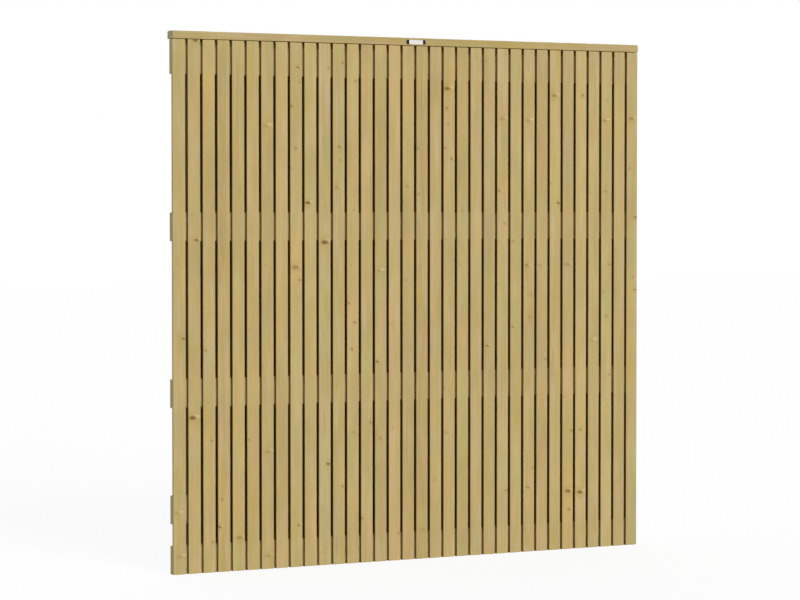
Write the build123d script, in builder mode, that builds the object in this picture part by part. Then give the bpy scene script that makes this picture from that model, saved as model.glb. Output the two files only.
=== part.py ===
from build123d import *
import os

# Double-sided fence panel: upright slats staggered on both faces of four rails,
# under a rounded cap. Millimetres, X along the width, front towards -Y, Z up,
# origin at the middle of the bottom edge.

# Overall size
panel_width = 1800
panel_height = 1800

# Slats; a narrow gap parts their tops from the cap
front_slat_count = 34
slat_width = 45
slat_thickness = 14
slat_edge_radius = 2
slat_inner_chamfer = 1
slat_top_gap = 1.5

# Rails and the short block between the two slat layers
rail_height = 95
rail_thickness = 15
rail_edge_chamfer = 1.5
block_length = 95
block_bottom = 167

# Cap and the batten that carries it
cap_height = 26
cap_overhang = 1.5
cap_top_radius = 4
cap_bottom_radius = 1.5
batten_height = 21
batten_edge_chamfer = 2

# Blank plate let into the front of the cap, a little right of the middle
plate_length = 74
plate_height = 14.5
plate_offset = 2
plate_thickness = 1.2
plate_corner_radius = 1.5
plate_clearance = 0.2

# Countersunk screws from the top of the cap into the batten
cap_screw_count = 4
cap_screw_end_margin = 100
cap_screw_shank_radius = 2
cap_screw_head_radius = 4
cap_screw_sink = 0.4
cap_screw_bite = 14
cap_screw_clearance = 0.1
cap_screw_socket_radius = 1.6
cap_screw_socket_depth = 1.6
socket_sides = 6
countersink_angle = 90

# Places that follow from the sizes above
left_end = -panel_width / 2
cap_bottom = panel_height - cap_height
slat_length = cap_bottom - slat_top_gap
slat_pitch = (panel_width - slat_width) / (front_slat_count - 1)
back_slat_count = front_slat_count - 1
slat_plane = (rail_thickness + slat_thickness) / 2
cap_depth = rail_thickness + 2 * slat_thickness + 2 * cap_overhang
batten_bottom = cap_bottom - batten_height
top_rail_bottom = batten_bottom - rail_height
rail_names = ["bottom_rail", "lower_rail", "upper_rail", "top_rail"]
rail_step = top_rail_bottom / (len(rail_names) - 1)
plate_centre = (cap_bottom + cap_bottom_radius + panel_height - cap_top_radius) / 2
cap_screw_spacing = (panel_width - 2 * cap_screw_end_margin) / (cap_screw_count - 1)
cap_screw_hole_radius = cap_screw_shank_radius + cap_screw_clearance
countersink_radius = cap_screw_head_radius + cap_screw_sink + cap_screw_clearance
cap_screw_top = panel_height - cap_screw_sink
cap_screw_head_height = cap_screw_head_radius - cap_screw_shank_radius
cap_screw_length = cap_height - cap_screw_sink + cap_screw_bite

os.makedirs("parts", exist_ok=True)


def save(piece, node):
    """Label a finished piece and write it as its own STEP file."""
    piece.label = node
    export_step(piece, f"parts/{node}.step")


def build_bar(bottom, height, length, edge_chamfer):
    """Return a bar between the slat layers, from the left end, with eased long edges."""
    with BuildPart() as bar:
        with BuildSketch(Plane.YZ.offset(left_end)) as section:
            with Locations((0, bottom + height / 2)):
                Rectangle(rail_thickness, height)
            chamfer(section.vertices(), edge_chamfer)
        extrude(amount=length)
    return bar.part


# Front slats, one node each
for index in range(front_slat_count):
    slat_centre = left_end + slat_width / 2 + index * slat_pitch
    with BuildPart() as front_slat:
        with BuildSketch(Plane((slat_centre, -slat_plane, 0))) as section:
            Rectangle(slat_width, slat_thickness)
            chamfer(section.vertices().group_by(Axis.Y)[-1], slat_inner_chamfer)
            fillet(section.vertices().group_by(Axis.Y)[0], slat_edge_radius)
        extrude(amount=slat_length)
    save(front_slat.part, f"front_slat_{index + 1:02d}")

# Back slats, half a pitch over so that each one covers a gap of the front
with BuildPart() as back_slats:
    with BuildSketch(Plane((0, slat_plane, 0))) as section:
        with GridLocations(slat_pitch, 0, back_slat_count, 1):
            Rectangle(slat_width, slat_thickness)
        chamfer(section.vertices().group_by(Axis.Y)[0], slat_inner_chamfer)
        fillet(section.vertices().group_by(Axis.Y)[-1], slat_edge_radius)
    extrude(amount=slat_length)
save(back_slats.part, "back_slats")

# Rails, evenly spaced from the bottom edge
for index, node in enumerate(rail_names):
    save(build_bar(index * rail_step, rail_height, panel_width, rail_edge_chamfer), node)

# Short block at the lower left, cut from rail stock
save(build_bar(block_bottom, rail_height, block_length, rail_edge_chamfer), "left_block")

# Batten on the top rail, under the cap, bored for the cap screws
with BuildPart() as cap_batten:
    add(build_bar(batten_bottom, batten_height, panel_width, batten_edge_chamfer))
    with Locations(Plane.XY.offset(cap_bottom)):
        with GridLocations(cap_screw_spacing, 0, cap_screw_count, 1):
            Hole(cap_screw_hole_radius, depth=cap_screw_bite + cap_screw_clearance)
save(cap_batten.part, "cap_batten")

# Cap with rounded edges, a seat for the plate and countersunk holes
with BuildPart() as cap:
    with BuildSketch(Plane.YZ.offset(left_end)):
        with Locations((0, cap_bottom + cap_height / 2)):
            Rectangle(cap_depth, cap_height)
    extrude(amount=panel_width)
    fillet(cap.edges().filter_by(Axis.X).group_by(Axis.Z)[-1], cap_top_radius)
    fillet(cap.edges().filter_by(Axis.X).group_by(Axis.Z)[0], cap_bottom_radius)
    with BuildSketch(Plane.XZ.offset(cap_depth / 2)):
        with Locations((plate_offset, plate_centre)):
            RectangleRounded(
                plate_length + 2 * plate_clearance,
                plate_height + 2 * plate_clearance,
                plate_corner_radius + plate_clearance,
            )
    extrude(amount=-plate_thickness, mode=Mode.SUBTRACT)
    with Locations(Plane.XY.offset(panel_height)):
        with GridLocations(cap_screw_spacing, 0, cap_screw_count, 1):
            CounterSinkHole(
                cap_screw_hole_radius,
                countersink_radius,
                depth=cap_height,
                counter_sink_angle=countersink_angle,
            )
save(cap.part, "cap")

# Blank plate, flush with the front of the cap
with BuildPart() as blank_plate:
    with BuildSketch(Plane.XZ.offset(cap_depth / 2)):
        with Locations((plate_offset, plate_centre)):
            RectangleRounded(plate_length, plate_height, plate_corner_radius)
    extrude(amount=-plate_thickness)
save(blank_plate.part, "blank_plate")

# Cap screws: a countersunk head with a six-sided socket, on a plain shank
with BuildPart() as cap_screws:
    with Locations(Plane.XY.offset(cap_screw_top)):
        with GridLocations(cap_screw_spacing, 0, cap_screw_count, 1):
            Cylinder(
                cap_screw_shank_radius,
                cap_screw_length,
                align=(Align.CENTER, Align.CENTER, Align.MAX),
            )
            Cone(
                cap_screw_shank_radius,
                cap_screw_head_radius,
                cap_screw_head_height,
                align=(Align.CENTER, Align.CENTER, Align.MAX),
            )
    with BuildSketch(Plane.XY.offset(cap_screw_top)):
        with GridLocations(cap_screw_spacing, 0, cap_screw_count, 1):
            RegularPolygon(cap_screw_socket_radius, socket_sides)
    extrude(amount=-cap_screw_socket_depth, mode=Mode.SUBTRACT)
save(cap_screws.part, "cap_screws")
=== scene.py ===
"""Looks of a double-sided slatted fence panel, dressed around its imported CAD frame.

Metres, X along the width, front towards -Y, Z up. Colours are linear RGB.
"""

import logging
import math
from dataclasses import dataclass, replace
from enum import Enum
from functools import reduce
from typing import Any

import bpy
import numpy as np
from mathutils import Euler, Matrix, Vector


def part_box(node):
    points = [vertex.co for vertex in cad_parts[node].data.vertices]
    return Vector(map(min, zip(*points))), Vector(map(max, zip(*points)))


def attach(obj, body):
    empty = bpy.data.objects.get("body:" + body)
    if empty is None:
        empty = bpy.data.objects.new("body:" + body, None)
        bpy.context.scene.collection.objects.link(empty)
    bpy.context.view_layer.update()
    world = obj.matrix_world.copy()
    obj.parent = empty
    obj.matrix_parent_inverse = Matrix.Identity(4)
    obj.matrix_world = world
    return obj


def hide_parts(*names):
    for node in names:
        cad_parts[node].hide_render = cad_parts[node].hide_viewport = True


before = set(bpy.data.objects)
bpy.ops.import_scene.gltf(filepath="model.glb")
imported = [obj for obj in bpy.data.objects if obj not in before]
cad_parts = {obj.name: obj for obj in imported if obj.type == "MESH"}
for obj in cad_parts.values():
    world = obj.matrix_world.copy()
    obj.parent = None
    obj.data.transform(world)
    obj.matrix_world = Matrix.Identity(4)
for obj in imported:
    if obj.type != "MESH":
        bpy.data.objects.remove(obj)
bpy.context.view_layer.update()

LOG = logging.getLogger("fence_panel")
BODY = "root"
CAP = "cap"
BLOCK = "left_block"
RAILS = ("bottom_rail", "lower_rail", "upper_rail", "top_rail")
MM = 0.001

Colour = tuple[float, float, float, float]
Span = tuple[float, float]
Socket = bpy.types.NodeSocket

WHITE: Colour = (1.0, 1.0, 1.0, 1.0)
BOARD_SEEDS: Span = (0.0, 10.0)


class Grain(Enum):
    """Direction that a board's fibres run in."""

    UPRIGHT = "Z"
    LEVEL = "X"


class Layer(Enum):
    """The two layers of slats: which way the face that shows looks along Y."""

    FRONT = -1
    BACK = 1


@dataclass(frozen=True)
class Mottle:
    """A field of stretched noise: cells per metre across and along the grain, and the field's number."""

    across: float
    along: float
    field: int


@dataclass(frozen=True)
class RingPattern:
    """Growth rings: how the pith wanders, how rings part round a knot, and the summer wood in a ring.

    Cells are noise cells per metre of board, or per ring for uneven_cells. The seed steps keep the
    drifts of one board apart, and summer places are shares of a ring.
    """

    wander: float = 12.0 * MM
    wander_cells: float = 1.2
    wander_seed: float = 31.7
    rise: float = 16.0 * MM
    rise_cells: float = 0.9
    rise_seed: float = 57.3
    drift_detail: float = 2.0
    part_reach: float = 28.0 * MM
    part_share: float = 1.8
    part_along: float = 0.25
    part_core: float = 0.3
    uneven: float = 1.6
    uneven_cells: float = 0.45
    uneven_seed: float = 5.0
    ragged: float = 0.7
    summer_start: float = 0.25
    summer_full: float = 0.90
    summer_end: float = 0.92


@dataclass(frozen=True)
class KnotPattern:
    """A knot's heart, bark, stain along the grain and the paler wood beside it.

    Heart, bark, stain and halo hold distances in radii. A share or strength that is a pair holds
    that of a pale knot, and what full darkness adds to it.
    """

    spread: float = 1.15
    least_radius: float = 0.01 * MM
    widening: float = 1.9
    ragged: float = 0.55
    ragged_cells: float = 240.0
    heart: Span = (0.30, 1.35)
    heart_share: Span = (0.26, 0.70)
    dark_share: float = 0.75
    ring_turns: float = 16.0
    ring_share: float = 0.12
    bark: tuple[float, float, float] = (0.45, 0.85, 1.40)
    bark_share: float = 0.40
    stain: Span = (0.7, 2.6)
    stain_share: Span = (0.18, 0.30)
    stain_along: float = 0.45
    halo: Span = (0.4, 1.5)
    halo_share: float = 0.55
    halo_strength: Span = (0.2, 0.8)
    halo_ragged: float = 0.8
    halo_beside: float = 1.3
    halo_above: float = 0.8


@dataclass(frozen=True)
class SoftwoodFinish:
    """Planed, pressure-treated softwood: colours, patterns, contrasts, bump and gloss."""

    name: str
    early: Colour
    late: Colour
    warm: Colour
    green: Colour
    knot: Colour
    knot_dark: Colour
    stain: Colour
    honey: Colour
    chalk: Colour
    pale: Colour
    # Painted highlight: the paler, greyer colour along the slats' rounded edges
    edge: Colour
    end_grain: Colour
    resin: Colour
    # Painted shade: the colour that gap walls, slat tops under the cap and undersides are darkened towards
    painted_shade_tint: Colour
    rings: RingPattern = RingPattern()
    knots: KnotPattern = KnotPattern()
    late_base: float = 0.16
    ring_contrast: float = 0.40
    fibre_contrast: float = 0.45
    streak_contrast: float = 0.50
    patch_contrast: float = 0.30
    cloud_contrast: float = 0.26
    tint_base: float = 0.05
    tint_contrast: float = 2.2
    vein_contrast: float = 0.5
    board_contrast: float = 0.55
    board_seed: float = 7.7
    resin_base: float = 0.55
    resin_streak: float = 1.2
    resin_cloud: float = 1.6
    level: float = 0.985
    end_share: float = 0.85
    edge_highlight_share: float = 0.75
    bump_height: float = 0.35 * MM
    bump_strength: float = 0.5
    fibre_bump: float = 0.7
    ring_bump: float = 0.5
    knot_bump: float = 0.6
    rough_ring: float = 0.4
    rough_span: Span = (-0.5, 0.8)
    roughness_low: float = 0.58
    roughness_high: float = 0.74
    gloss: float = 0.10


@dataclass(frozen=True)
class PlateFinish:
    """Blank plate: a white field, faintly dusty, between two black ends."""

    name: str = "plate_face"
    field: Colour = (0.78, 0.76, 0.73, 1.0)
    dust: Colour = (0.62, 0.60, 0.54, 1.0)
    ends: Colour = (0.010, 0.009, 0.008, 1.0)
    middle: float = 2.5 * MM
    half_field: float = 26.3 * MM
    end_blur: float = 0.2 * MM
    dust_share: float = 0.12
    dust_scale: float = 220.0
    dust_detail: float = 3.0
    roughness: float = 0.55
    gloss: float = 0.12


@dataclass(frozen=True)
class SteelFinish:
    """Dull stainless steel of nails and screws."""

    name: str
    dark: Colour
    light: Colour
    roughness: float = 0.45
    grain_scale: float = 900.0
    grain_detail: float = 2.0


@dataclass(frozen=True)
class FloorFinish:
    """Pale floor that the camera sees as white, with a soft shadow left in it."""

    name: str = "studio_floor"
    albedo: Colour = (0.28, 0.28, 0.28, 1.0)
    white: float = 0.90
    shadow_share: float = 0.28


@dataclass(frozen=True)
class Lamp:
    """A soft sun lamp: where it shines from in degrees, strength, softness in degrees and colour."""

    name: str
    azimuth: float
    elevation: float
    strength: float
    softness: float
    colour: tuple[float, float, float]


@dataclass(frozen=True)
class Knot:
    """One knot on a slat: height, offset from the slat's middle, radius, darkness, paler wood beside it."""

    height: float
    offset: float
    radius: float
    dark: float
    pale: float = 0.0


@dataclass(frozen=True)
class KnotStock:
    """Knots drawn by chance: bold ones that stand out, and pin knots.

    Offsets are shares of the slat's width and radii are mm; a pin's radius is drawn as its root.
    """

    bold_share: float = 0.0
    bold_offset: float = 0.3
    bold_radius: Span = (2.4, 5.6)
    bold_dark: Span = (0.4, 0.9)
    bold_pale: Span = (0.0, 0.3)
    pins: int = 3
    pin_offset: float = 0.42
    pin_root: Span = (0.9, 1.5)
    pin_dark: Span = (0.0, 0.25)
    spacing: float = 60.0 * MM


@dataclass(frozen=True)
class Resin:
    """A resin stain on a board: the place of its middle along the grain, its reach and its strength."""

    along: float = 0.0
    reach: float = 1.0
    share: float = 0.0


@dataclass(frozen=True)
class Cover:
    """A board's stretch under the slats, made paler as painted light for the gaps: half lengths where it
    ends and where all is open.
    """

    closed: float = 0.0
    opened: float = 1.0
    # Painted light: how much paler the covered stretch is
    light: float = 0.0


@dataclass(frozen=True)
class Board:
    """What sets one board's wood apart: middle, seed, pith, tone, resin stain, cover with its painted light,
    and how light its top is.
    """

    middle: Span
    seed: float
    pith: tuple[float, float, float]
    tone: tuple[float, float, float]
    resin: Resin = Resin()
    cover: Cover = Cover()
    top_light: float = 0.0


@dataclass(frozen=True)
class BoardStock:
    """Boards of one kind: how far the pith lies from their middle, ring width, and the spread of tone.

    Warmth and greenness hold a mean and a spread. With either_face, the pith lies behind or before.
    """

    pith_side: float
    pith_depth: Span
    ring_width: Span
    light_spread: float
    warmth: Span
    greenness: Span
    either_face: bool = False

    def draw(self, chance: np.random.Generator, middle: Span) -> Board:
        """Draw one board.

        Args:
            chance: Seeded source of random numbers.
            middle: The board's middle across the grain and through its thickness.

        Returns:
            The board.
        """
        side = chance.uniform(-self.pith_side, self.pith_side)
        depth = chance.uniform(*self.pith_depth)
        if self.either_face:
            depth *= chance.choice((-1.0, 1.0))
        pith = (side, depth, chance.uniform(*self.ring_width))
        light = chance.normal(0.0, self.light_spread)
        tone = (light, chance.normal(*self.warmth), chance.normal(*self.greenness))
        return Board(middle, chance.uniform(*BOARD_SEEDS), pith, tone)


SOFTWOOD = SoftwoodFinish(
    name="treated_softwood",
    early=(0.530, 0.415, 0.190, 1.0),
    late=(0.400, 0.275, 0.100, 1.0),
    warm=(0.560, 0.375, 0.180, 1.0),
    green=(0.430, 0.405, 0.165, 1.0),
    knot=(0.300, 0.185, 0.050, 1.0),
    knot_dark=(0.130, 0.075, 0.016, 1.0),
    stain=(0.440, 0.305, 0.095, 1.0),
    honey=(0.505, 0.375, 0.095, 1.0),
    chalk=(0.535, 0.432, 0.245, 1.0),
    pale=(0.640, 0.520, 0.290, 1.0),
    edge=(0.505, 0.415, 0.225, 1.0),
    end_grain=(0.390, 0.335, 0.185, 1.0),
    resin=(0.570, 0.365, 0.095, 1.0),
    painted_shade_tint=(0.54, 0.39, 0.06, 1.0),
)
NAIL_STEEL = SteelFinish("nail_steel", (0.26, 0.22, 0.14, 1.0), (0.42, 0.36, 0.24, 1.0))
SCREW_STEEL = SteelFinish("screw_steel", (0.30, 0.29, 0.27, 1.0), (0.52, 0.51, 0.48, 1.0), 0.35)
SLAT_STOCK = BoardStock(
    pith_side=60.0 * MM, pith_depth=(15.0 * MM, 90.0 * MM), ring_width=(1.8 * MM, 3.6 * MM),
    light_spread=0.030, warmth=(0.06, 0.10), greenness=(0.06, 0.10), either_face=True,
)
LEVEL_STOCK = BoardStock(
    pith_side=70.0 * MM, pith_depth=(20.0 * MM, 80.0 * MM), ring_width=(2.0 * MM, 3.4 * MM),
    light_spread=0.015, warmth=(0.10, 0.06), greenness=(0.12, 0.06),
)
BACK_KNOTS = KnotStock(bold_share=0.42)

# The knots seen on the front slats, numbered from the left; heights in metres, offsets and radii in mm
FRONT_KNOTS: dict[int, tuple[Knot, ...]] = {
    1: (Knot(0.060, 0, 5.0, 0.10, 0.7), Knot(0.205, -10, 4.6, 0.05, 0.6), Knot(0.783, 14, 2.9, 0.7)),
    2: (Knot(0.519, -7, 5.4, 1.0), Knot(0.744, 9, 1.8, 0.1), Knot(1.109, 8, 3.3, 0.95),
        Knot(1.769, 6, 4.0, 0.9)),
    3: (Knot(0.101, 13, 2.4, 0.4), Knot(0.441, 9, 2.6, 0.3), Knot(0.742, -13, 2.6, 0.5)),
    4: (Knot(0.151, -16.5, 3.0, 0.8), Knot(0.243, -7, 2.5, 0.5)),
    5: (Knot(0.111, 2, 4.4, 0.45),),
    6: (Knot(0.439, -15, 2.5, 0.3), Knot(0.808, -12, 2.0, 0.1)),
    7: (Knot(0.045, 0, 5.4, 0.15, 0.2), Knot(0.395, 0, 5.0, 0.2, 0.2), Knot(1.490, -6, 5.4, 0.1, 0.8)),
    9: (Knot(0.141, 8, 2.8, 0.55), Knot(0.972, 13, 3.0, 0.4), Knot(1.015, -4, 6.2, 0.5),
        Knot(1.417, -1, 2.8, 0.45), Knot(1.559, -16, 2.8, 0.5), Knot(1.639, 14, 2.2, 0.4),
        Knot(1.689, 7, 3.2, 0.55)),
    10: (Knot(1.233, -10, 4.2, 0.95),),
    11: (Knot(0.345, 13, 3.4, 0.95), Knot(1.099, 0, 5.8, 1.0), Knot(1.689, 16, 2.2, 0.5)),
    12: (Knot(0.266, 13, 2.5, 0.4), Knot(1.284, -8, 4.4, 0.2), Knot(1.378, 8, 2.4, 0.3),
         Knot(1.423, 3.5, 3.0, 0.6), Knot(1.707, 15, 2.4, 0.4)),
    13: (Knot(0.450, 3, 3.6, 0.12), Knot(0.733, -4, 2.7, 0.55), Knot(0.825, 7, 2.7, 0.55),
         Knot(0.891, -15, 2.6, 0.45), Knot(1.647, 11, 2.5, 0.4)),
    14: (Knot(0.153, -18, 2.6, 0.55), Knot(0.480, 15, 2.5, 0.45)),
    15: (Knot(0.424, 0, 2.6, 0.35), Knot(0.689, -13, 2.8, 0.8), Knot(1.000, -6, 4.6, 0.05, 0.8)),
    16: (Knot(0.093, 16, 2.3, 0.4),),
    17: (Knot(0.967, -10, 2.2, 0.25), Knot(1.291, -4, 3.6, 0.15)),
    18: (Knot(0.101, 3, 4.4, 0.15), Knot(1.263, -12, 2.4, 0.4), Knot(1.421, -15, 2.6, 0.35)),
    19: (Knot(0.274, -3, 3.0, 0.05),),
    20: (Knot(0.436, -13, 3.2, 0.15), Knot(1.385, 10, 2.8, 0.5), Knot(1.423, -15, 2.5, 0.35),
         Knot(1.505, -4, 2.4, 0.5), Knot(1.561, -8.5, 2.8, 0.6), Knot(1.629, -8, 5.2, 0.9)),
    21: (Knot(1.020, -7, 2.6, 0.05),),
    23: (Knot(0.733, -8, 2.8, 0.75),),
    24: (Knot(0.221, 15, 2.5, 0.5), Knot(1.160, 7, 2.6, 0.4), Knot(1.275, -14, 2.8, 0.5),
         Knot(1.527, -2, 5.6, 0.2, 0.3)),
    25: (Knot(0.797, -12, 2.8, 0.5), Knot(1.098, -11, 4.2, 0.12)),
    26: (Knot(0.229, -3.5, 3.4, 0.4, 0.3), Knot(0.297, 16, 2.2, 0.35), Knot(0.829, 6, 4.6, 0.15),
         Knot(0.911, 8, 3.6, 0.12), Knot(1.013, -9, 3.6, 0.5), Knot(1.523, -4, 5.0, 0.15, 0.9)),
    27: (Knot(0.682, 15, 2.4, 0.45), Knot(1.013, -9, 4.4, 0.12)),
    28: (Knot(1.233, 13, 3.0, 0.9), Knot(1.613, -4.5, 4.8, 0.5, 0.2)),
    29: (Knot(0.141, 6, 3.0, 0.5), Knot(0.207, 1.5, 5.2, 0.85), Knot(0.423, 15, 2.4, 0.5),
         Knot(1.015, -3, 5.2, 0.25)),
    30: (Knot(0.201, -2, 5.2, 0.9, 0.2), Knot(0.424, 0, 2.6, 0.5), Knot(1.615, 8, 3.4, 0.4, 0.6)),
    31: (Knot(0.743, -7, 4.4, 0.0, 0.9),),
    32: (Knot(0.619, 14, 2.4, 0.4), Knot(0.828, 2, 4.6, 0.12), Knot(1.013, 12, 3.6, 0.2),
         Knot(1.276, -3, 4.2, 0.12), Knot(1.527, -8, 4.4, 0.35, 0.6)),
    34: (Knot(0.921, 14, 2.8, 0.5), Knot(0.966, 5, 2.2, 0.3), Knot(1.182, 16, 3.4, 0.8),
         Knot(1.358, -9, 2.4, 0.4), Knot(1.536, -4, 4.8, 0.5)),
}

# The front slats with a resin stain beside their knots, numbered from the left; places and reaches in metres
FRONT_RESIN: dict[int, Resin] = {
    9: Resin(1.02, 0.20, 0.5),
    20: Resin(1.66, 0.16, 0.6),
    29: Resin(0.17, 0.26, 0.8),
    34: Resin(0.75, 0.30, 0.4),
}


class Graph:
    """Adds linked nodes to one shader tree; a plain value given for a socket is set on it."""

    def __init__(self, tree: bpy.types.NodeTree) -> None:
        """Keep the tree that the nodes go into."""
        self.tree = tree

    def feed(self, sockets: Any, values: dict[Any, Any]) -> None:
        """Feed the inputs of a node.

        Args:
            sockets: The node's inputs.
            values: Input name or number, to a socket or a plain value.
        """
        for key, value in values.items():
            if isinstance(value, Socket):
                self.tree.links.new(value, sockets[key])
            else:
                sockets[key].default_value = value

    def add(self, kind: str, inputs: dict[Any, Any] | None = None, **settings: Any) -> bpy.types.Node:
        """Add a node, set its properties and feed its inputs.

        Args:
            kind: Node type name, without its ShaderNode prefix.
            inputs: Input name or number, to a socket or a plain value.
            settings: Properties of the node.

        Returns:
            The new node.
        """
        node = self.tree.nodes.new("ShaderNode" + kind)
        for key, value in settings.items():
            setattr(node, key, value)
        self.feed(node.inputs, inputs or {})
        return node

    def math(self, operation: str, *values: Any) -> Socket:
        """Return a Math node's result for up to three sockets or numbers."""
        return self.add("Math", dict(enumerate(values)), operation=operation).outputs[0]

    def total(self, *values: Any) -> Socket:
        """Return the sum of two or more sockets or numbers."""
        return reduce(lambda first, second: self.math("ADD", first, second), values)

    def times(self, *values: Any) -> Socket:
        """Return the product of two or more sockets or numbers."""
        return reduce(lambda first, second: self.math("MULTIPLY", first, second), values)

    def largest(self, *values: Any) -> Socket:
        """Return the largest of two or more sockets or numbers."""
        return reduce(lambda first, second: self.math("MAXIMUM", first, second), values)

    def less(self, first: Any, second: Any) -> Socket:
        """Return the first socket or number less the second."""
        return self.math("SUBTRACT", first, second)

    def over(self, first: Any, second: Any) -> Socket:
        """Return the first socket or number over the second."""
        return self.math("DIVIDE", first, second)

    def line(self, value: Any, slope: Any, base: Any) -> Socket:
        """Return a straight line of value: slope times value, plus base."""
        return self.math("MULTIPLY_ADD", value, slope, base)

    def size(self, value: Any) -> Socket:
        """Return a socket or number without its sign."""
        return self.math("ABSOLUTE", value)

    def length(self, first: Any, second: Any) -> Socket:
        """Return the square root of the sum of two squares."""
        return self.math("SQRT", self.total(self.times(first, first), self.times(second, second)))

    def step(self, value: Any, low: float, high: float, start: float = 0.0, end: float = 1.0) -> Socket:
        """Return a smooth step of value, from start at low to end at high."""
        inputs = {"Value": value, "From Min": low, "From Max": high, "To Min": start, "To Max": end}
        return self.add("MapRange", inputs, interpolation_type="SMOOTHSTEP").outputs[0]

    def fall(self, value: Any, low: float, high: float) -> Socket:
        """Return a smooth step of value, from 1 at low down to 0 at high."""
        return self.step(value, low, high, 1.0, 0.0)

    def vector(self, x: Any, y: Any, z: Any) -> Socket:
        """Return a vector of three sockets or numbers."""
        return self.add("CombineXYZ", {0: x, 1: y, 2: z}).outputs[0]

    def split(self, vector: Socket) -> list[Socket]:
        """Return a vector's three parts."""
        return list(self.add("SeparateXYZ", {0: vector}).outputs)

    def noise(self, vector: Socket) -> Socket:
        """Return noise about zero, from -0.5 to 0.5, of a vector already in noise cells."""
        inputs = {"Vector": vector, "Scale": 1.0, "Detail": 2.0, "Roughness": 0.5}
        return self.less(self.add("TexNoise", inputs).outputs[0], 0.5)

    def drift(self, along: Socket, detail: float = 1.0) -> Socket:
        """Return noise about zero along one line, already in noise cells."""
        inputs = {"W": along, "Scale": 1.0, "Detail": detail}
        return self.less(self.add("TexNoise", inputs, noise_dimensions="1D").outputs[0], 0.5)

    def blend(self, share: Any, first: Any, second: Any, mode: str = "MIX") -> Socket:
        """Return a mix of two colours by a share from 0 to 1."""
        inputs = {0: share, 6: first, 7: second}
        return self.add("Mix", inputs, data_type="RGBA", blend_type=mode, clamp_factor=True).outputs[2]

    def seen_rays(self) -> Socket:
        """Return 1 for rays from the eye, in gloss or through glass, and 0 for light on the object."""
        path = self.add("LightPath").outputs
        return self.largest(path["Is Camera Ray"], path["Is Glossy Ray"], path["Is Transmission Ray"])


def new_material(name: str) -> tuple[bpy.types.Material, Graph, Any]:
    """Make a material with a Principled surface.

    Args:
        name: Name of the material.

    Returns:
        The material, its graph and the surface's inputs.
    """
    material = bpy.data.materials.new(name)
    material.use_nodes = True
    surface = material.node_tree.nodes["Principled BSDF"]
    return material, Graph(material.node_tree), surface.inputs


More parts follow.
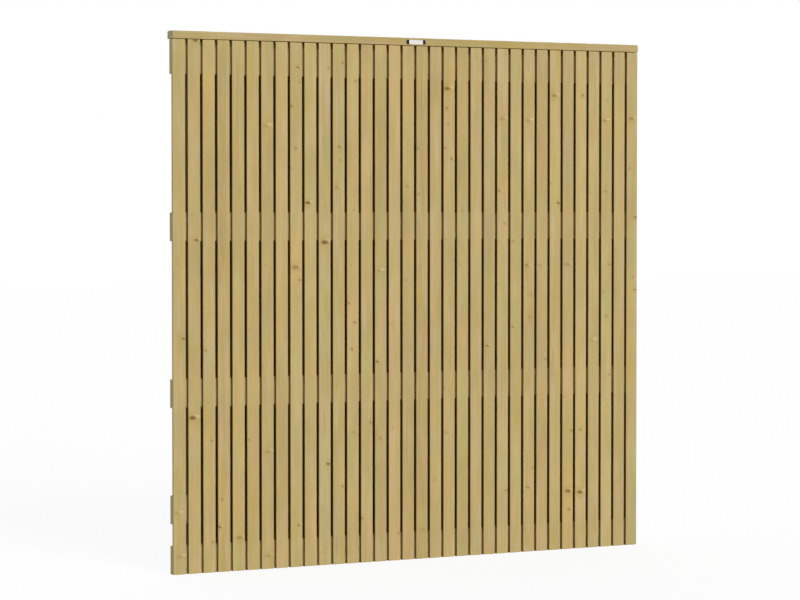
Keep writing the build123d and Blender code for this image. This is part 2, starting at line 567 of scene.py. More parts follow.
class SoftwoodShader:
    """A solid wood pattern: growth rings about a pith, fibres, stain and one knot per place.

    The fibres of the ring pattern part round a knot as a stream parts round a post.
    """

    FEEDS = {
        "Place": "NodeSocketVector", "Seed": "NodeSocketFloat", "Pith": "NodeSocketVector",
        "Tone": "NodeSocketVector", "Knot": "NodeSocketVector", "Look": "NodeSocketVector",
        "Resin": "NodeSocketVector", "End": "NodeSocketFloat", "Edge Highlight": "NodeSocketFloat",
        "Shade": "NodeSocketFloat",
    }
    RESULTS = {"Colour": "NodeSocketColor", "Roughness": "NodeSocketFloat", "Height": "NodeSocketFloat"}
    FIBRE = Mottle(1100.0, 16.0, 0)
    STREAK = Mottle(190.0, 2.2, 1)
    PATCH = Mottle(9.0, 1.9, 2)
    CLOUD = Mottle(16.0, 7.0, 3)
    PINK = Mottle(48.0, 6.0, 4)
    MOSS = Mottle(40.0, 5.0, 5)
    AMBER = Mottle(55.0, 7.0, 6)
    RAGGED = Mottle(70.0, 3.0, 7)
    VEIN = Mottle(150.0, 2.6, 8)
    SEED_STEP = 17.0
    FIELD_STEP = 93.0
    EDGE_START = 14.0 * MM
    EDGE_FULL = 21.0 * MM
    EDGE_END = 22.4 * MM
    END_START = 0.6
    END_FULL = 0.9
    TOP_START = 0.1
    TOP_FULL = 0.7
    # Share of painted shade on the boards' undersides
    UNDERSIDE_SHADE = 0.45

    def __init__(self, finish: SoftwoodFinish) -> None:
        """Build the node group for a finish.

        Args:
            finish: The softwood's colours, patterns and gloss.
        """
        self.finish = finish
        self.tree = bpy.data.node_groups.new(finish.name, "ShaderNodeTree")
        for name, kind in self.FEEDS.items():
            self.tree.interface.new_socket(name, in_out="INPUT", socket_type=kind)
        for name, kind in self.RESULTS.items():
            self.tree.interface.new_socket(name, in_out="OUTPUT", socket_type=kind)
        self.graph = Graph(self.tree)
        self.given = self.tree.nodes.new("NodeGroupInput").outputs
        self.across, self.depth, self.along = self.graph.split(self.given["Place"])
        self.light, self.warmth, self.greenness = self.graph.split(self.given["Tone"])
        self.dark, self.pale, _ = self.graph.split(self.given["Look"])
        knot_across, knot_along, knot_size = self.graph.split(self.given["Knot"])
        self.from_knot = self.graph.less(self.across, knot_across)
        self.past_knot = self.graph.less(self.along, knot_along)
        spread = self.graph.times(knot_size, finish.knots.spread)
        self.radius = self.graph.largest(spread, finish.knots.least_radius)
        self._wire()

    def _wire(self) -> None:
        """Join rings, fibres, stain and knot into colour, roughness and height."""
        graph, finish = self.graph, self.finish
        late = self._rings()
        fibre, streak, cloud = self._mottle(self.FIBRE), self._mottle(self.STREAK), self._mottle(self.CLOUD)
        share = graph.total(
            graph.times(late, finish.ring_contrast),
            graph.times(fibre, finish.fibre_contrast),
            graph.times(streak, finish.streak_contrast),
            finish.late_base,
        )
        level = graph.total(
            finish.level,
            self.light,
            graph.times(self._mottle(self.PATCH), finish.patch_contrast),
            graph.times(cloud, finish.cloud_contrast),
        )
        colour = self._tinted(graph.blend(share, finish.early, finish.late), streak)
        colour = graph.blend(self._resin(streak, cloud), colour, finish.resin)
        # Painted highlight along the slats' rounded edges
        colour = graph.blend(graph.times(self.given["Edge Highlight"], finish.edge_highlight_share), colour, finish.edge)
        colour = graph.blend(1.0, colour, graph.vector(level, level, level), "MULTIPLY")
        colour = graph.blend(graph.times(self.given["End"], finish.end_share), colour, finish.end_grain)
        colour, heart = self._knot(colour)
        # Painted shade: the Shade share darkens the gap walls, the slat tops under the cap and the boards'
        # undersides
        colour = graph.blend(self.given["Shade"], colour, finish.painted_shade_tint, "MULTIPLY")
        worn = graph.total(fibre, graph.times(late, finish.rough_ring))
        rough = graph.step(worn, *finish.rough_span, finish.roughness_high, finish.roughness_low)
        height = graph.total(
            graph.times(fibre, finish.fibre_bump),
            graph.times(late, finish.ring_bump),
            graph.times(heart, finish.knot_bump),
        )
        result = self.tree.nodes.new("NodeGroupOutput").inputs
        graph.feed(result, {"Colour": colour, "Roughness": rough, "Height": height})

    def _mottle(self, mottle: Mottle) -> Socket:
        """Work out a field of noise that is stretched along the grain, apart for each board.

        Args:
            mottle: The field's cells and number.

        Returns:
            Noise about zero.
        """
        graph = self.graph
        shift = graph.line(self.given["Seed"], self.SEED_STEP, mottle.field * self.FIELD_STEP)
        return graph.noise(graph.vector(
            graph.line(self.across, mottle.across, shift),
            graph.line(self.depth, mottle.across, shift),
            graph.line(self.along, mottle.along, shift),
        ))

    def _drift(self, place: Socket, cells: float, seed_step: float, detail: float = 1.0) -> Socket:
        """Return noise about zero along one line, in cells of its own and apart for each board."""
        shift = self.graph.times(self.given["Seed"], seed_step)
        return self.graph.drift(self.graph.line(place, cells, shift), detail)

    def _tinted(self, colour: Socket, streak: Socket) -> Socket:
        """Lay the honey, chalky, pink and green tints over a colour.

        Args:
            colour: The wood's colour.
            streak: Noise in fine streaks.

        Returns:
            The tinted colour.
        """
        graph, finish = self.graph, self.finish
        vein = self._mottle(self.VEIN)
        pink = graph.line(vein, finish.vein_contrast, self._mottle(self.PINK))
        moss = graph.line(vein, -finish.vein_contrast, self._mottle(self.MOSS))
        amber = graph.line(streak, finish.vein_contrast, self._mottle(self.AMBER))
        board = graph.drift(graph.times(self.given["Seed"], finish.board_seed))
        yellow = graph.line(amber, finish.tint_contrast, graph.times(board, finish.board_contrast))
        colour = graph.blend(graph.total(yellow, finish.tint_base), colour, finish.honey)
        colour = graph.blend(graph.less(finish.tint_base, yellow), colour, finish.chalk)
        colour = graph.blend(graph.line(pink, finish.tint_contrast, self.warmth), colour, finish.warm)
        return graph.blend(graph.line(moss, finish.tint_contrast, self.greenness), colour, finish.green)

    def _resin(self, streak: Socket, cloud: Socket) -> Socket:
        """Work out the resin stain: full at its middle, fading along the board, in streaks.

        Args:
            streak: Noise in fine streaks.
            cloud: Noise in soft clouds.

        Returns:
            The share of resin.
        """
        graph, finish = self.graph, self.finish
        middle, reach, share = graph.split(self.given["Resin"])
        away = graph.over(graph.size(graph.less(self.along, middle)), reach)
        lumps = graph.total(
            finish.resin_base,
            graph.times(streak, finish.resin_streak),
            graph.times(cloud, finish.resin_cloud),
        )
        return graph.times(graph.fall(away, 0.0, 1.0), share, lumps)

    def _rings(self) -> Socket:
        """Work out how much of the place is summer wood.

        The ring number is the distance from the pith over the ring width. The pith wanders along
        the board, so the rings run out of the face in long tongues. Near a knot the place moves by
        its offset times the squared radius over the squared distance, fading along the board.

        Returns:
            The share of summer wood, from 0 to 1.
        """
        graph, rings = self.graph, self.finish.rings
        pith_across, pith_depth, ring_width = graph.split(self.given["Pith"])
        wander = self._drift(self.along, rings.wander_cells, rings.wander_seed, rings.drift_detail)
        rise = self._drift(self.along, rings.rise_cells, rings.rise_seed, rings.drift_detail)
        squared = graph.total(
            graph.times(self.from_knot, self.from_knot),
            graph.times(self.past_knot, self.past_knot, rings.part_along),
            graph.times(self.radius, self.radius, rings.part_core),
        )
        fade = graph.fall(graph.size(self.past_knot), 0.0, rings.part_reach)
        push = graph.times(self.from_knot, self.radius, self.radius, fade, rings.part_share)
        side = graph.less(graph.line(wander, rings.wander, self.across), graph.over(push, squared))
        deep = graph.line(rise, rings.rise, self.depth)
        from_pith = graph.length(graph.less(side, pith_across), graph.less(deep, pith_depth))
        ring = graph.over(from_pith, ring_width)
        uneven = self._drift(ring, rings.uneven_cells, rings.uneven_seed)
        ragged = graph.times(self._mottle(self.RAGGED), rings.ragged)
        phase = graph.math("FRACT", graph.total(ring, graph.times(uneven, rings.uneven), ragged))
        summer = graph.step(phase, rings.summer_start, rings.summer_full)
        return graph.times(summer, graph.fall(phase, rings.summer_end, 1.0))

    def _knot(self, colour: Socket) -> tuple[Socket, Socket]:
        """Lay one knot over a colour.

        The knot's number is the distance from its middle over its radius, a little wider across
        the board than along it: below 1 is heartwood in rings, about 1 is bark, and above 1 a
        stain fades out along the grain.

        Args:
            colour: The wood's colour.

        Returns:
            The colour with the knot, and the share of heartwood from 0 to 1.
        """
        graph, finish, knot = self.graph, self.finish, self.finish.knots
        ragged = graph.noise(graph.vector(
            graph.times(self.from_knot, knot.ragged_cells),
            graph.times(self.past_knot, knot.ragged_cells),
            self.given["Seed"],
        ))
        wide = graph.times(self.from_knot, 1.0 / knot.widening)
        near = graph.over(graph.length(wide, self.past_knot), self.radius)
        near = graph.line(ragged, knot.ragged, near)
        along = graph.over(graph.length(wide, graph.times(self.past_knot, knot.stain_along)), self.radius)
        stain = graph.times(graph.fall(along, *knot.stain), self._by_dark(knot.stain_share))
        bark_start, bark_full, bark_end = knot.bark
        bark_rise = graph.step(near, bark_start, bark_full)
        bark = graph.times(bark_rise, graph.fall(near, bark_full, bark_end), self.dark)
        waves = graph.math("SINE", graph.times(near, knot.ring_turns))
        rings = graph.line(waves, knot.ring_share, self.dark)
        heart = graph.blend(graph.times(rings, knot.dark_share), finish.knot, finish.knot_dark)
        strength = graph.total(self._by_dark(knot.halo_strength), self.pale)
        halo = graph.times(self._halo(wide, ragged), strength)
        colour = graph.blend(stain, colour, finish.stain)
        colour = graph.blend(graph.times(halo, knot.halo_share), colour, finish.pale)
        colour = graph.blend(graph.times(bark, knot.bark_share), colour, finish.knot_dark)
        core = graph.times(graph.fall(near, *knot.heart), self._by_dark(knot.heart_share))
        return graph.blend(core, colour, heart), core

    def _by_dark(self, share: Span) -> Socket:
        """Return a share of a pale knot plus what the knot's darkness adds to it."""
        pale_share, dark_gain = share
        return self.graph.line(self.dark, dark_gain, pale_share)

    def _halo(self, wide: Socket, ragged: Socket) -> Socket:
        """Work out the patch of paler wood beside a knot and above it.

        Args:
            wide: Place across the board from the knot's middle, narrowed.
            ragged: Noise that frays the patch.

        Returns:
            The share of paler wood, from 0 to 1.
        """
        graph, knot = self.graph, self.finish.knots
        beside = graph.line(self.radius, -knot.halo_beside, wide)
        above = graph.line(self.radius, -knot.halo_above, self.past_knot)
        near = graph.over(graph.length(beside, above), self.radius)
        return graph.fall(graph.line(ragged, knot.halo_ragged, near), *knot.halo)

    def _material(self, name: str) -> tuple[bpy.types.Material, Graph, Any]:
        """Make a material with the wood group wired to its surface.

        Args:
            name: Name of the material.

        Returns:
            The material, its graph and the wood group's inputs.
        """
        finish = self.finish
        material, graph, surface = new_material(name)
        wood = graph.add("Group", node_tree=self.tree)
        bump = graph.add("Bump", {
            "Strength": finish.bump_strength,
            "Distance": finish.bump_height,
            "Height": wood.outputs["Height"],
        })
        graph.feed(surface, {
            "Base Color": wood.outputs["Colour"],
            "Roughness": wood.outputs["Roughness"],
            "Normal": bump.outputs[0],
            "Specular IOR Level": finish.gloss,
        })
        return material, graph, wood.inputs

    def _end_share(self, graph: Graph, grain: Grain) -> Socket:
        """Work out how far the surface faces along the grain, which shows end grain.

        Args:
            graph: The material's graph.
            grain: Direction of the grain.

        Returns:
            The share of end grain, from 0 to 1.
        """
        normal = graph.split(graph.add("NewGeometry").outputs["True Normal"])
        facing = normal["XYZ".index(grain.value)]
        return graph.step(graph.size(facing), self.END_START, self.END_FULL)

    def for_slats(self, name: str) -> bpy.types.Material:
        """Make the wood of upright slats, which carry their own board and knot attributes.

        Args:
            name: Name of the material.

        Returns:
            The material.
        """
        material, graph, wood = self._material(name)
        read = {key: graph.add("Attribute", attribute_name=key).outputs for key in SlatLayer.ATTRIBUTES}
        middle_x, middle_y, seed = graph.split(read["board"]["Vector"])
        x, y, z = graph.split(graph.add("TexCoord").outputs["Object"])
        across = graph.less(x, middle_x)
        side = graph.size(across)
        # Band along each rounded edge that gets the painted highlight
        rise = graph.step(side, self.EDGE_START, self.EDGE_FULL)
        graph.feed(wood, {
            "Place": graph.vector(across, graph.less(y, middle_y), z),
            "Seed": seed,
            "Pith": read["pith"]["Vector"],
            "Tone": read["tone"]["Vector"],
            "Knot": read["knot"]["Vector"],
            "Look": read["knot_look"]["Vector"],
            "Resin": read["resin"]["Vector"],
            "End": self._end_share(graph, Grain.UPRIGHT),
            "Edge Highlight": graph.times(rise, graph.fall(side, self.EDGE_FULL, self.EDGE_END)),
            # Painted shade in the gaps and on the tops under the cap
            "Shade": read["shade"]["Fac"],
        })
        return material

    def for_board(self, name: str, board: Board) -> bpy.types.Material:
        """Make the wood of one level board, with its grain along X and across Z.

        Args:
            name: Name of the material.
            board: What sets the board's wood apart.

        Returns:
            The material.
        """
        material, graph, wood = self._material(name)
        middle_z, middle_y = board.middle
        light, warmth, greenness = board.tone
        cover, resin = board.cover, board.resin
        x, y, z = graph.split(graph.add("TexCoord").outputs["Object"])
        # Painted light: the stretch under the slats is paler, for light seen in the shaded gaps
        covered = graph.step(graph.size(x), cover.closed, cover.opened, light + cover.light, light)
        upward = graph.split(graph.add("NewGeometry").outputs["Normal"])[2]
        # Upward faces take the board's top_light; on the cap they are darker
        upward_lightness = graph.step(upward, self.TOP_START, self.TOP_FULL, 0.0, board.top_light)
        graph.feed(wood, {
            "Place": graph.vector(graph.less(z, middle_z), graph.less(y, middle_y), x),
            "Seed": board.seed,
            "Pith": board.pith,
            "Tone": graph.vector(graph.total(covered, upward_lightness), warmth, greenness),
            "Resin": (resin.along, resin.reach, resin.share),
            "End": self._end_share(graph, Grain.LEVEL),
            # Painted shade on the downward faces
            "Shade": graph.step(upward, -self.TOP_FULL, -self.TOP_START, self.UNDERSIDE_SHADE, 0.0),
        })
        return material


def make_piece(name: str, points: np.ndarray, faces: list[list[int]]) -> bpy.types.Object:
    """Make a mesh piece at the origin that rides on the panel.

    Args:
        name: Name of the piece.
        points: Corner places, one row each.
        faces: Corner numbers of each face.

    Returns:
        The new object.
    """
    mesh = bpy.data.meshes.new(name)
    mesh.from_pydata(points.tolist(), [], faces)
    mesh.update()
    piece = bpy.data.objects.new(name, mesh)
    bpy.context.scene.collection.objects.link(piece)
    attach(piece, BODY)
    return piece


def strip_faces(rows: int, columns: int) -> np.ndarray:
    """Work out the quads of a closed tube of rows of points, each joined to the next row and column.

    Args:
        rows: Number of rows along the tube.
        columns: Number of points round it.

    Returns:
        Four corner numbers for each quad, row by row.
    """
    row, column = np.meshgrid(np.arange(rows - 1), np.arange(columns), indexing="ij")
    after = (column + 1) % columns
    low, high = row * columns, (row + 1) * columns
    return np.stack([low + column, low + after, high + after, high + column], axis=-1).reshape(-1, 4)


@dataclass
class SlatLayer:
    """One layer of upright slats with rounded edges, grain and knots of their own."""

    layer: Layer
    centres: np.ndarray
    low: Vector
    high: Vector
    width: float
    backing: tuple[tuple[Vector, Vector], ...]
    stock: KnotStock = KnotStock()
    seed: int = 11
    edge_radius: float = 2.4 * MM
    corner_steps: int = 4
    row_height: float = 20.0 * MM
    rail_ramp: float = 1.0 * MM
    # Painted shade on the slats: full on the walls of open gaps, rail_share of it where a rail stands
    # behind, and some on the tops under the cap
    rail_share: float = 0.72
    rail_inner: float = 0.05
    corner_power: float = 0.6
    end_slat_share: float = 0.25
    under_cap_shade: float = 0.30

    ATTRIBUTES = ("board", "pith", "tone", "resin", "knot", "knot_look", "shade")

    def section(self) -> np.ndarray:
        """Work out a slat's outline seen from above, about its own middle.

        Each corner is a quarter circle: its middle plus the radius times (cos a, sin a).

        Returns:
            The outline's points, anticlockwise.
        """
        half = np.array([self.width, self.high.y - self.low.y]) / 2 - self.edge_radius
        turns = np.linspace(0.0, math.pi / 2, self.corner_steps + 1)
        signs = np.array([(1, 1), (-1, 1), (-1, -1), (1, -1)])
        angles = turns[None, :] + np.arange(4)[:, None] * math.pi / 2
        arcs = np.stack([np.cos(angles), np.sin(angles)], axis=-1) * self.edge_radius
        outline = (signs * half)[:, None, :] + arcs
        return outline.reshape(-1, 2)

    def wall_shade(self, index: int, inner: float = 1.0) -> np.ndarray:
        """Work out the painted shade on a slat's outline: darker where it lies in a gap or against the
        rails.

        Args:
            index: The slat's number, from 0 at the left.
            inner: The share on the inner face.

        Returns:
            1 on the walls of the gaps, 0 on the outer face, with a ramp on the rounded corners.
        """
        steps = self.corner_steps + 1
        left = 0.0 if index == 0 else 1.0
        right = 0.0 if index == len(self.centres) - 1 else 1.0
        inner = inner if left and right else self.end_slat_share
        near_left, near_right = min(left, inner), min(right, inner)
        if self.layer is Layer.FRONT:
            turns = ((near_right, inner), (inner, near_left), (left, 0.0), (0.0, right))
        else:
            turns = ((right, 0.0), (0.0, left), (near_left, inner), (inner, near_right))
        return np.concatenate([np.linspace(start, end, steps) for start, end in turns]) ** self.corner_power

    def rows(self) -> np.ndarray:
        """Work out the heights of the rows of points, with extra rows at the edges of the backing.

        Returns:
            The heights, from the foot to the top.
        """
        count = max(2, round((self.high.z - self.low.z) / self.row_height) + 1)
        edges = np.array([(low.z, high.z) for low, high in self.backing]).ravel()
        under_top = [self.high.z - self.rail_ramp]
        edges = np.concatenate([edges - self.rail_ramp, edges + self.rail_ramp, under_top])
        inside = edges[(edges > self.low.z) & (edges < self.high.z)]
        return np.unique(np.concatenate([np.linspace(self.low.z, self.high.z, count), inside]).round(6))

    def closed_at(self, x: float) -> np.ndarray:
        """Work out where a rail or the block stands behind a gap.

        Args:
            x: The gap's place along X.

        Returns:
            True for each row of points that has backing behind it.
        """
        rows = self.rows()
        across = [(low.z, high.z) for low, high in self.backing if low.x < x < high.x]
        return np.array([(rows > low) & (rows < high) for low, high in across]).any(axis=0)

    def shade_of(self, index: int) -> np.ndarray:
        """Work out how far the painted shade goes at each point of a slat, row by row.

        Args:
            index: The slat's number, from 0 at the left.

        Returns:
            The share of painted shade: less where a rail closes the gap, and some on the top under the cap.
        """
        half_pitch = (self.centres[1] - self.centres[0]) / 2
        left = self.closed_at(max(self.centres[index] - half_pitch, self.centres[0]))
        right = self.closed_at(min(self.centres[index] + half_pitch, self.centres[-1]))
        closed = np.where(self.section()[:, 0] < 0, left[:, None], right[:, None])
        at_rail = self.rail_share * self.wall_shade(index, self.rail_inner)
        shade = np.where(closed, at_rail, self.wall_shade(index))
        # Painted shade on the slat tops under the cap
        shade[-1] = np.maximum(shade[-1], self.under_cap_shade)
        return shade.ravel()

    def knots_of(self, index: int, chance: np.random.Generator) -> list[Knot]:
        """Gather a slat's knots: those seen on it, bold ones by chance, and pin knots in between.

        Args:
            index: The slat's number, from 0 at the left.
            chance: Seeded source of random numbers.

        Returns:
            The knots, from the foot up.
        """
        stock, across = self.stock, self.width / MM
        knots = list(FRONT_KNOTS.get(index + 1, ())) if self.layer is Layer.FRONT else []
        while stock.bold_share and chance.random() < stock.bold_share:
            height = chance.uniform(self.low.z, self.high.z)
            offset = chance.uniform(-stock.bold_offset, stock.bold_offset) * across
            looks = [chance.uniform(*span) for span in (stock.bold_radius, stock.bold_dark, stock.bold_pale)]
            self._add_apart(knots, Knot(height, offset, *looks))
        heights = chance.uniform(self.low.z, self.high.z, stock.pins)
        offsets = chance.uniform(-stock.pin_offset, stock.pin_offset, stock.pins) * across
        radii = chance.uniform(*stock.pin_root, stock.pins) ** 2
        darks = chance.uniform(*stock.pin_dark, stock.pins)
        for facts in zip(heights, offsets, radii, darks):
            self._add_apart(knots, Knot(*facts))
        return sorted(knots, key=lambda knot: knot.height)

    def _add_apart(self, knots: list[Knot], knot: Knot) -> None:
        """Add a knot to a list unless one of the list lies too close to it in height."""
        if all(abs(knot.height - other.height) > self.stock.spacing for other in knots):
            knots.append(knot)

    def board_of(self, index: int, chance: np.random.Generator) -> Board:
        """Draw what sets a slat's wood apart.

        Args:
            index: The slat's number, from 0 at the left.
            chance: Seeded source of random numbers.

        Returns:
            The slat's board, with its resin stain if it has one.
        """
        board = SLAT_STOCK.draw(chance, (float(self.centres[index]), (self.low.y + self.high.y) / 2))
        if self.layer is Layer.BACK:
            return board
        return replace(board, resin=FRONT_RESIN.get(index + 1, Resin()))

    def mesh_arrays(self, index: int) -> tuple[np.ndarray, np.ndarray, np.ndarray]:
        """Work out one slat: its outline carried straight up through the rows.

        Args:
            index: The slat's number, from 0 at the left.

        Returns:
            Points, quads of the sides, and the two end faces.
        """
        outline = self.section()
        rows = self.rows()
        middle = np.array([self.centres[index], (self.low.y + self.high.y) / 2])
        flat = np.broadcast_to(outline + middle, (len(rows), len(outline), 2))
        tall = np.broadcast_to(rows[:, None, None], (len(rows), len(outline), 1))
        points = np.concatenate([flat, tall], axis=-1).reshape(-1, 3)
        ring = np.arange(len(outline))
        ends = np.stack([ring[::-1], ring + len(points) - len(outline)])
        return points, strip_faces(len(rows), len(outline)), ends

    def face_knots(self, knots: list[Knot]) -> tuple[np.ndarray, np.ndarray]:
        """Give each side face the knot nearest to it in height.

        Args:
            knots: The slat's knots.

        Returns:
            Offset, height and radius of the knot of each face, and its darkness and paleness.
        """
        rows = self.rows()
        heights = (rows[1:] + rows[:-1]) / 2
        facts = np.array([(k.offset * MM, k.height, k.radius * MM, k.dark, k.pale, 0.0) for k in knots])
        nearest = np.abs(heights[:, None] - facts[None, :, 1]).argmin(axis=1)
        chosen = np.repeat(facts[nearest], len(self.section()), axis=0)
        return chosen[:, :3], chosen[:, 3:]

    def dress(self, piece: bpy.types.Object, group: np.ndarray, boards: list[Board],
              knots: list[list[Knot]], sides: int) -> None:
        """Write the board and knot attributes of one or more slats that make up a piece.

        Args:
            piece: The piece, its side faces first and its end faces last.
            group: The slats' numbers.
            boards: One board for each slat.
            knots: One list of knots for each slat.
            sides: Number of side faces of one slat.
        """
        mesh = piece.data
        per_slat = len(mesh.vertices) // len(boards)
        facts = {
            "board": [(*board.middle, board.seed) for board in boards],
            "pith": [board.pith for board in boards],
            "tone": [board.tone for board in boards],
            "resin": [(board.resin.along, board.resin.reach, board.resin.share) for board in boards],
        }
        for name, rows in facts.items():
            values = np.repeat(np.array(rows, np.float32), per_slat, axis=0)
            mesh.attributes.new(name, "FLOAT_VECTOR", "POINT").data.foreach_set("vector", values.ravel())
        # Painted shade at each point of the slats
        shades = np.concatenate([self.shade_of(int(index)) for index in group])
        mesh.attributes.new("shade", "FLOAT", "POINT").data.foreach_set("value", shades.astype(np.float32))
        places = np.zeros((len(mesh.polygons), 3), np.float32)
        looks = np.zeros((len(mesh.polygons), 3), np.float32)
        for at, slat_knots in enumerate(knots):
            span = slice(at * sides, (at + 1) * sides)
            places[span], looks[span] = self.face_knots(slat_knots)
        for name, values in (("knot", places), ("knot_look", looks)):
            mesh.attributes.new(name, "FLOAT_VECTOR", "FACE").data.foreach_set("vector", values.ravel())

    def build(self, names: list[str], replaced: list[str], material: bpy.types.Material) -> None:
        """Build the layer, as one piece for each name.

        Args:
            names: Names of the pieces; one name takes all the slats.
            replaced: The CAD node that each piece stands for.
            material: The slats' wood.
        """
        chance = np.random.default_rng(self.seed)
        slats = range(len(self.centres))
        boards = [self.board_of(index, chance) for index in slats]
        knots = [self.knots_of(index, chance) for index in slats]
        for name, node, group in zip(names, replaced, np.array_split(np.array(slats), len(names))):
            arrays = [self.mesh_arrays(int(index)) for index in group]
            points = np.concatenate([points for points, _, _ in arrays])
            firsts = [at * len(arrays[0][0]) for at in range(len(arrays))]
            sides = np.concatenate([quads + first for first, (_, quads, _) in zip(firsts, arrays)])
            ends = np.concatenate([pair + first for first, (_, _, pair) in zip(firsts, arrays)])
            piece = make_piece(name, points, sides.tolist() + ends.tolist())
            piece.data.materials.append(material)
            group_boards = [boards[index] for index in group]
            group_knots = [knots[index] for index in group]
            self.dress(piece, group, group_boards, group_knots, len(arrays[0][1]))
            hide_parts(node)
            LOG.info("%s: %d slats, %d faces", name, len(group), len(piece.data.polygons))


@dataclass
class LevelBoards:
    """Rails, block, batten and cap: CAD solids that get wood with its grain along X."""

    covered: float
    opened: float
    nodes: tuple[str, ...] = (*RAILS, BLOCK, "cap_batten", CAP)
    # Painted light on the rails' stretch under the slats
    rail_painted_light: float = 0.26
    cap_light: float = -0.06
    cap_top_light: float = -0.10
    seed: int = 29

    def dress(self, wood: SoftwoodShader) -> None:
        """Give each board a wood of its own.

        Args:
            wood: The softwood that the boards are cut from.
        """
        chance = np.random.default_rng(self.seed)
        for node in self.nodes:
            low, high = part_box(node)
            board = LEVEL_STOCK.draw(chance, ((low.z + high.z) / 2, (low.y + high.y) / 2))
            if node == CAP:
                light, warmth, greenness = board.tone
                tone = (light + self.cap_light, warmth, greenness)
                board = replace(board, tone=tone, top_light=self.cap_top_light)
            elif node in RAILS:
                board = replace(board, cover=Cover(self.covered, self.opened, self.rail_painted_light))
            paint(node, wood.for_board(f"{node}_wood", board))


@dataclass
class NailRows:
    """Pin nails that hold the slats: two flush heads where a slat crosses a rail."""

    radius: float = 0.85 * MM
    stand: float = 0.06 * MM
    sink: float = 0.4 * MM
    crown_share: float = 0.75
    tip_share: float = 0.02
    tip_rise: float = 1.2
    sides: int = 10
    rise: float = 26.0 * MM
    sideways: float = 8.0 * MM

    def head(self) -> tuple[np.ndarray, np.ndarray]:
        """Work out one head: rings of points about its axis, from the shank out and over to the middle.

        Returns:
            Points as (across, out of the face, up) and the quads between the rings.
        """
        turns = np.linspace(0.0, 2 * math.pi, self.sides, endpoint=False)
        reach = np.array([1.0, 1.0, self.crown_share, self.tip_share]) * self.radius
        out = np.array([-self.sink, 0.0, self.stand, self.stand * self.tip_rise])
        across = reach[:, None] * np.cos(turns)
        up = reach[:, None] * np.sin(turns)
        points = np.stack([across, np.broadcast_to(out[:, None], across.shape), up], axis=-1)
        return points.reshape(-1, 3), strip_faces(len(reach), self.sides)

    def build(self, layer: SlatLayer, name: str, material: bpy.types.Material) -> None:
        """Build all the heads of a layer as one piece.

        Args:
            layer: The layer of slats that the nails hold.
            name: Name of the piece.
            material: The nails' steel.
        """
        points, quads = self.head()
        facing = layer.layer.value
        face = layer.low.y if facing < 0 else layer.high.y
        boxes = [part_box(rail) for rail in RAILS]
        levels = np.array([(low.z + high.z) / 2 for low, high in boxes])
        offsets = np.array([(-self.sideways, -self.rise), (self.sideways, self.rise)])
        centre, level, pair = np.meshgrid(np.arange(len(layer.centres)), levels, (0, 1), indexing="ij")
        places = np.stack([
            layer.centres[centre] + offsets[pair, 0], np.full(centre.shape, face), level + offsets[pair, 1],
        ], axis=-1).reshape(-1, 1, 3)
        turned = points * np.array([-facing, facing, 1.0])
        heads = (places + turned).reshape(-1, 3)
        faces = (quads[None] + np.arange(len(places))[:, None, None] * len(points)).reshape(-1, 4)
        piece = make_piece(name, heads, faces.tolist())
        piece.data.materials.append(material)
        LOG.info("%s: %d heads", name, len(places))


def paint(node: str, material: bpy.types.Material) -> None:
    """Give a CAD node one material.

    Args:
        node: Name of the node.
        material: Its new material.
    """
    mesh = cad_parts[node].data
    mesh.materials.clear()
    mesh.materials.append(material)
    LOG.info("%s: %s", node, material.name)


def steel_material(finish: SteelFinish) -> bpy.types.Material:
    """Make dull steel with a faint mottle.

    Args:
        finish: The steel's colours and gloss.

    Returns:
        The material.
    """
    material, graph, surface = new_material(finish.name)
    place = graph.add("TexCoord").outputs["Object"]
    cells = {"Vector": place, "Scale": finish.grain_scale, "Detail": finish.grain_detail}
    mottle = graph.add("TexNoise", cells).outputs[0]
    graph.feed(surface, {
        "Base Color": graph.blend(mottle, finish.dark, finish.light),
        "Metallic": 1.0,
        "Roughness": finish.roughness,
    })
    return material


def plate_material(finish: PlateFinish) -> bpy.types.Material:
    """Make the plate's finish: black where the distance from its middle is past the white field.

    Args:
        finish: The plate's colours, the size of its field, and its gloss.

    Returns:
        The material.
    """
    material, graph, surface = new_material(finish.name)
    place = graph.add("TexCoord").outputs["Object"]
    from_middle = graph.size(graph.less(graph.split(place)[0], finish.middle))
    ends = graph.step(from_middle, finish.half_field - finish.end_blur, finish.half_field + finish.end_blur)
    cells = {"Vector": place, "Scale": finish.dust_scale, "Detail": finish.dust_detail}
    dust = graph.times(graph.add("TexNoise", cells).outputs[0], finish.dust_share)
    field = graph.blend(dust, finish.field, finish.dust)
    graph.feed(surface, {
        "Base Color": graph.blend(ends, field, finish.ends),
        "Roughness": finish.roughness,
        "Specular IOR Level": finish.gloss,
    })
    return material


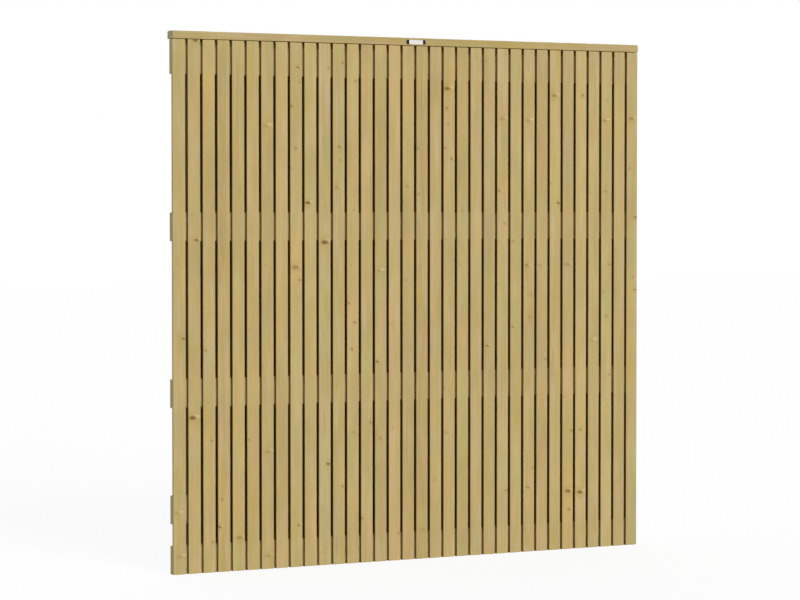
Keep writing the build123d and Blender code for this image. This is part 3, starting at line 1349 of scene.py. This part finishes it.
@dataclass
class Studio:
    """White floor and surround, soft key light and a camera at the photograph's angle."""

    camera_place: tuple[float, float, float] = (-4.302, -8.321, 1.219)
    camera_heading: float = 27.077
    camera_pitch: float = -1.647
    lens: float = 121.91
    sensor: float = 36.0
    image_width: int = 800
    axis_rise_px: float = 15.27
    floor_half: float = 30.0
    ambient: Colour = (0.95, 0.98, 1.0, 1.0)
    ambient_strength: float = 0.05
    lamps: tuple[Lamp, ...] = (
        Lamp("key", azimuth=7.0, elevation=30.0,
             strength=3.2, softness=30.0, colour=(1.0, 0.99, 0.97)),
        Lamp("left_fill", azimuth=-112.0, elevation=22.0,
             strength=1.8, softness=70.0, colour=(0.86, 0.95, 1.0)),
        Lamp("back_key", azimuth=160.0, elevation=24.0,
             strength=2.7, softness=60.0, colour=(1.0, 0.99, 0.97)),
    )

    def camera(self) -> None:
        """Place the camera: it turns by its heading from +Y towards +X, and tips by its pitch."""
        data = bpy.data.cameras.new("photo_camera")
        data.lens = self.lens
        data.sensor_width = self.sensor
        data.shift_y = -self.axis_rise_px / self.image_width
        camera = bpy.data.objects.new("photo_camera", data)
        camera.location = self.camera_place
        turn = (math.radians(90.0 + self.camera_pitch), 0.0, -math.radians(self.camera_heading))
        camera.rotation_euler = Euler(turn, "XYZ")
        bpy.context.scene.collection.objects.link(camera)
        bpy.context.scene.camera = camera

    def hang(self, lamp: Lamp) -> None:
        """Hang a lamp: a sun that shines from its azimuth, turned from -Y towards +X, and elevation.

        Args:
            lamp: The lamp's place, strength, softness and colour.
        """
        data = bpy.data.lights.new(lamp.name, "SUN")
        data.energy = lamp.strength
        data.angle = math.radians(lamp.softness)
        data.color = lamp.colour
        sun = bpy.data.objects.new(lamp.name, data)
        azimuth, elevation = math.radians(lamp.azimuth), math.radians(lamp.elevation)
        flat = math.cos(elevation)
        towards = Vector((math.sin(azimuth) * flat, -math.cos(azimuth) * flat, math.sin(elevation)))
        sun.rotation_euler = towards.to_track_quat("Z", "Y").to_euler()
        bpy.context.scene.collection.objects.link(sun)

    def surround(self) -> None:
        """Make the world: white to the eye and in reflections, and an even light on the object."""
        world = bpy.data.worlds.new("studio")
        world.use_nodes = True
        bpy.context.scene.world = world
        world.node_tree.nodes.clear()
        graph = Graph(world.node_tree)
        light = graph.add("Background", {"Color": self.ambient, "Strength": self.ambient_strength})
        white = graph.add("Background", {"Color": WHITE, "Strength": 1.0})
        mix = graph.add("MixShader", {0: graph.seen_rays(), 1: light.outputs[0], 2: white.outputs[0]})
        graph.add("OutputWorld", {"Surface": mix.outputs[0]})

    def floor(self, finish: FloorFinish) -> None:
        """Lay the floor at the panel's foot: white to the eye, with some of the shadow left in.

        Args:
            finish: The floor's paleness and its share of shadow.
        """
        half = self.floor_half
        mesh = bpy.data.meshes.new(finish.name)
        corners = [(-half, -half, 0.0), (half, -half, 0.0), (half, half, 0.0), (-half, half, 0.0)]
        mesh.from_pydata(corners, [], [(0, 1, 2, 3)])
        floor = bpy.data.objects.new(finish.name, mesh)
        bpy.context.scene.collection.objects.link(floor)
        material = bpy.data.materials.new(finish.name)
        material.use_nodes = True
        mesh.materials.append(material)
        material.node_tree.nodes.clear()
        graph = Graph(material.node_tree)
        matt = graph.add("BsdfDiffuse", {"Color": finish.albedo}).outputs[0]
        strength = finish.white / (1 - finish.shadow_share)
        white = graph.add("Emission", {"Color": WHITE, "Strength": strength}).outputs[0]
        shown = graph.add("MixShader", {0: finish.shadow_share, 1: white, 2: matt}).outputs[0]
        mix = graph.add("MixShader", {0: graph.seen_rays(), 1: matt, 2: shown}).outputs[0]
        graph.add("OutputMaterial", {"Surface": mix})

    def build(self) -> None:
        """Set up the whole studio."""
        bpy.context.scene.view_settings.view_transform = "Standard"
        self.camera()
        for lamp in self.lamps:
            self.hang(lamp)
        self.surround()
        self.floor(FloorFinish())
        LOG.info("studio: floor, camera and %d lamps", len(self.lamps))


def slat_layers() -> tuple[SlatLayer, SlatLayer, list[str]]:
    """Read the two layers of slats from the CAD frame.

    The back slats stand behind the gaps of the front, half way between two front slats.

    Returns:
        The front layer, the back layer and the names of the front slats' nodes.
    """
    names = sorted(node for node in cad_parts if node.startswith("front_slat_"))
    boxes = [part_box(name) for name in names]
    centres = np.array([(low.x + high.x) / 2 for low, high in boxes])
    width = boxes[0][1].x - boxes[0][0].x
    backing = tuple(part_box(node) for node in (*RAILS, BLOCK))
    front = SlatLayer(Layer.FRONT, centres, boxes[0][0], boxes[-1][1], width, backing)
    low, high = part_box("back_slats")
    between = (centres[1:] + centres[:-1]) / 2
    back = SlatLayer(Layer.BACK, between, low, high, width, backing, BACK_KNOTS, seed=47)
    return front, back, names


def main() -> None:
    """Build and dress the panel, then set up the studio round it."""
    logging.basicConfig(level=logging.INFO, format="%(name)s %(message)s")
    wood = SoftwoodShader(SOFTWOOD)
    front, back, names = slat_layers()
    slat_wood = wood.for_slats("slat_wood")
    front.build([f"{name}_dressed" for name in names], names, slat_wood)
    back.build(["back_slats_dressed"], ["back_slats"], slat_wood)
    covered = float(front.centres[-1]) - front.width / 2
    opened = float(back.centres[-1]) + back.width / 2
    LevelBoards(covered, opened).dress(wood)
    nails = NailRows()
    nail_steel = steel_material(NAIL_STEEL)
    nails.build(front, "front_nails", nail_steel)
    nails.build(back, "back_nails", nail_steel)
    paint("cap_screws", steel_material(SCREW_STEEL))
    paint("blank_plate", plate_material(PlateFinish()))
    Studio().build()


if __name__ == "__main__":
    main()
